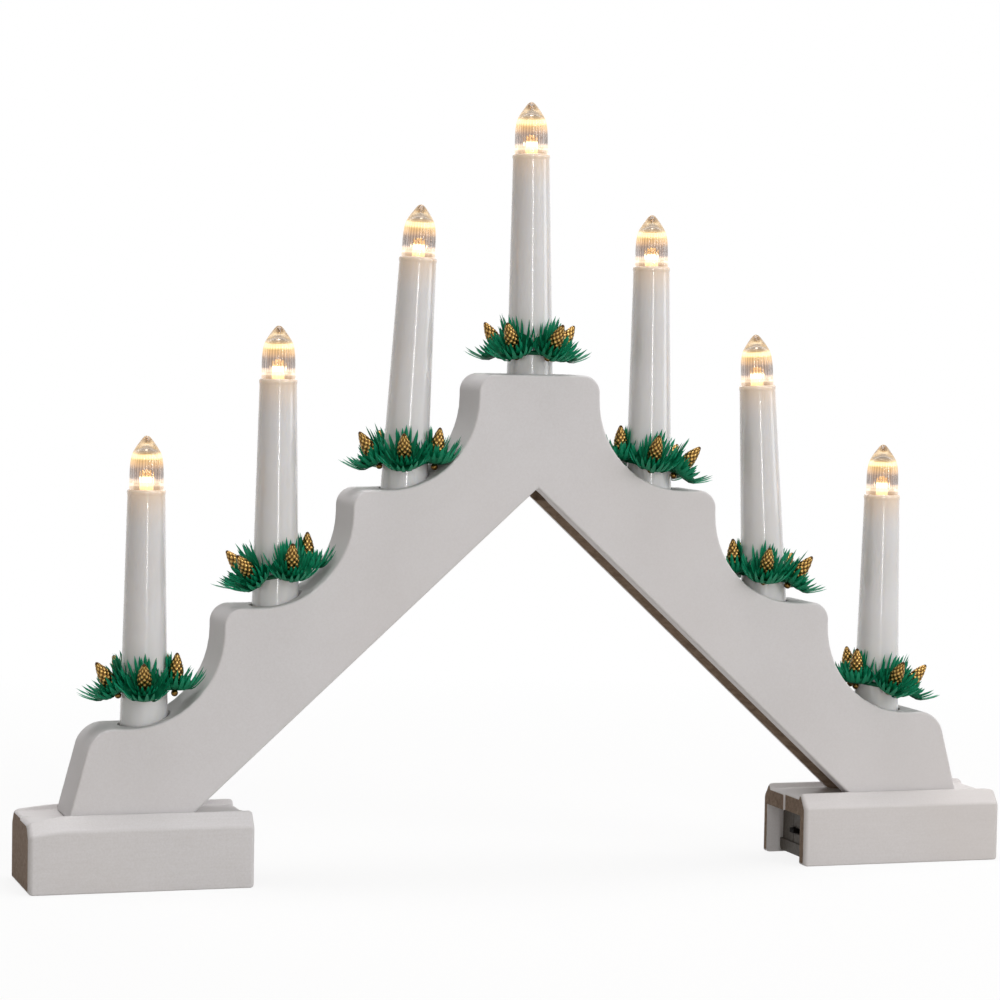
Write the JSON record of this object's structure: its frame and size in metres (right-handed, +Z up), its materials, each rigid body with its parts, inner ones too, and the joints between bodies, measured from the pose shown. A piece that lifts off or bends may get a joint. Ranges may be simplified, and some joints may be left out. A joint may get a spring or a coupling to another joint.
{
  "type": "candle arch",
  "caption": "Stepped wooden candle arch on two hollow feet, with battery powered electric candles, pine needle rings, a slide switch and a sliding battery lid.",
  "frame": {"origin": "middle of the footprint, on the plane that the feet stand on", "axes": "+X along the arch to the right as seen from the front, +Y to the rear, +Z up"},
  "size_m": [0.4, 0.0538, 0.304],
  "materials": {
    "arch_paint": "white satin paint on wood",
    "foot_paint": "white satin paint on wood, end grain left thin",
    "candle_plastic": "glossy white",
    "bulb_clear": "clear, ribbed",
    "holder_plastic": "white, matt",
    "lamp_lens": "warm yellow, clear",
    "pine_green": "dark green with a soft sheen",
    "cone_gold": "antique gold",
    "lead_cover": "white insulation",
    "screw_steel": "zinc plated",
    "case_plastic": "grey-brown",
    "cell_wrap": "plain wrap",
    "contact_metal": "bright nickel",
    "switch_black": "black"
  },
  "bodies": {
    "root": {"arch_board": "arch_paint", "batteries": "cell_wrap", "battery_case": "case_plastic", "bulb_1": "bulb_clear", "bulb_2": "bulb_clear", "bulb_3": "bulb_clear", "bulb_4": "bulb_clear", "bulb_5": "bulb_clear", "bulb_6": "bulb_clear", "bulb_7": "bulb_clear", "candle_leads": "lead_cover", "candle_tube_1": "candle_plastic", "candle_tube_2": "candle_plastic", "candle_tube_3": "candle_plastic", "candle_tube_4": "candle_plastic", "candle_tube_5": "candle_plastic", "candle_tube_6": "candle_plastic", "candle_tube_7": "candle_plastic", "contact_plates": "contact_metal", "contact_springs": "contact_metal", "foot_screws": "screw_steel", "lamp_holder_1": "holder_plastic", "lamp_holder_2": "holder_plastic", "lamp_holder_3": "holder_plastic", "lamp_holder_4": "holder_plastic", "lamp_holder_5": "holder_plastic", "lamp_holder_6": "holder_plastic", "lamp_holder_7": "holder_plastic", "led_1": "lamp_lens", "led_2": "lamp_lens", "led_3": "lamp_lens", "led_4": "lamp_lens", "led_5": "lamp_lens", "led_6": "lamp_lens", "led_7": "lamp_lens", "left_foot_front": "foot_paint", "left_foot_rear": "foot_paint", "main_lead": "lead_cover", "right_foot_front": "foot_paint", "right_foot_rear": "foot_paint", "ring_cones_1": "cone_gold", "ring_cones_2": "cone_gold", "ring_cones_3": "cone_gold", "ring_cones_4": "cone_gold", "ring_cones_5": "cone_gold", "ring_cones_6": "cone_gold", "ring_cones_7": "cone_gold", "ring_tufts_1": "pine_green", "ring_tufts_2": "pine_green", "ring_tufts_3": "pine_green", "ring_tufts_4": "pine_green", "ring_tufts_5": "pine_green", "ring_tufts_6": "pine_green", "ring_tufts_7": "pine_green", "switch_body": "switch_black"},
    "battery_lid": {"battery_lid": "case_plastic"},
    "switch_slider": {"switch_slider": "switch_black"}
  },
  "joints": [
    {"name": "switch_slide", "type": "slide", "parent": "root", "child": "switch_slider", "axis": [0, -1, 0], "range_m": [0, 0.0042]},
    {"name": "battery_lid_slide", "type": "slide", "parent": "root", "child": "battery_lid", "axis": [-1, 0, 0], "range_m": [0, 0.069]}
  ]
}
